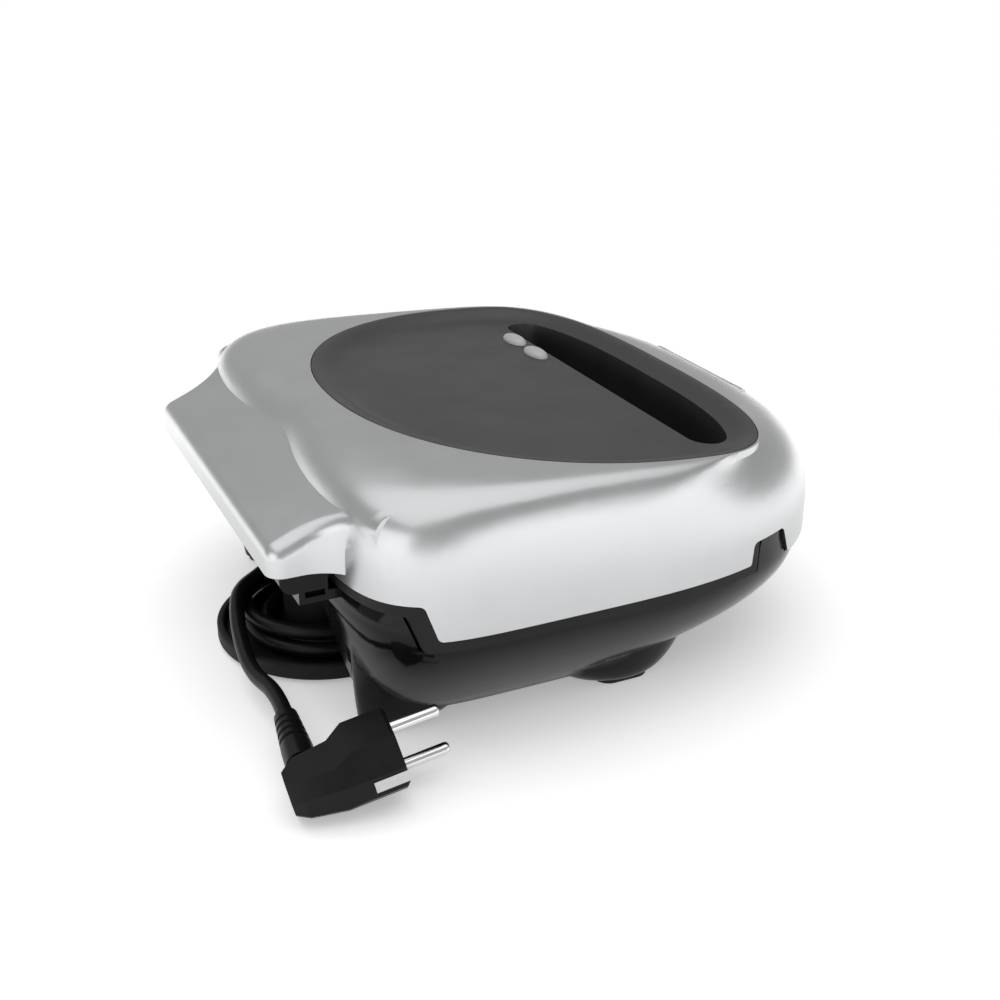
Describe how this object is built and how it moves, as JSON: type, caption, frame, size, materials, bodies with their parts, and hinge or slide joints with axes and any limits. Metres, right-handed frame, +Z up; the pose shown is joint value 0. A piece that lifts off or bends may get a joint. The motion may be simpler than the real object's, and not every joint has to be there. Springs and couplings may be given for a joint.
{
  "type": "sandwich maker",
  "caption": "Countertop sandwich maker with a hinged domed lid, front latch, pocketed cooking plates and a rear winder for its mains lead.",
  "frame": {"origin": "middle of the case's footprint, on the surface the feet stand on", "axes": "+Z up, -Y towards the front with the grip and latch, +Y towards the hinge"},
  "size_m": [0.2811, 0.2765, 0.1142],
  "materials": {
    "silver_shell": "satin silver paint",
    "panel_black": "satin black moulding",
    "lens_clear": "clear moulded lens",
    "frame_black": "matte black heat-resistant moulding",
    "base_black": "gloss black moulding",
    "nonstick": "non-stick coated casting",
    "heater": "heat-tinted steel tube",
    "sheet_aluminium": "bright sheet",
    "steel": "zinc plated",
    "terminal_white": "natural moulding",
    "foot_rubber": "soft black pad",
    "cord_black": "black flexible sheath",
    "plug_black": "black moulding",
    "pin_chrome": "bright nickel plating"
  },
  "bodies": {
    "base": {"lower_shell": "base_black", "lower_frame": "frame_black", "lower_plate": "nonstick", "lower_element": "heater", "lower_heat_shield": "sheet_aluminium", "thermostat": "sheet_aluminium", "terminal_block": "terminal_white", "lower_frame_screws": "steel", "latch_catch": "frame_black", "hinge_pin_left": "steel", "hinge_pin_right": "steel", "foot_front_left": "foot_rubber", "foot_front_right": "foot_rubber", "foot_rear_left": "foot_rubber", "foot_rear_right": "foot_rubber", "winder_spool": "frame_black", "winder_screw": "steel", "cord_gland": "cord_black", "cord_winding": "cord_black", "cord_tail": "cord_black", "plug_body": "plug_black", "plug_pins": "pin_chrome", "plug_earth_contacts": "steel", "plug_relief": "cord_black"},
    "lid": {"upper_shell": "silver_shell", "top_inlay": "panel_black", "power_lamp_lens": "lens_clear", "ready_lamp_lens": "lens_clear", "lamp_holder": "frame_black", "upper_frame": "frame_black", "upper_plate": "nonstick", "upper_element": "heater", "upper_heat_shield": "sheet_aluminium", "thermal_fuse": "sheet_aluminium", "upper_frame_screws": "steel", "latch_pin": "steel"},
    "latch": {"latch": "silver_shell", "latch_hook": "frame_black"}
  },
  "joints": [
    {"name": "lid_hinge", "type": "hinge", "parent": "base", "child": "lid", "pos_m": [0, 0.122, 0.074], "axis": [-1, 0, 0], "range_deg": [0, 95]},
    {"name": "latch_swing", "type": "hinge", "parent": "lid", "child": "latch", "pos_m": [0, -0.1125, 0.09737], "axis": [-1, 0, 0], "range_deg": [-2, 25]}
  ]
}
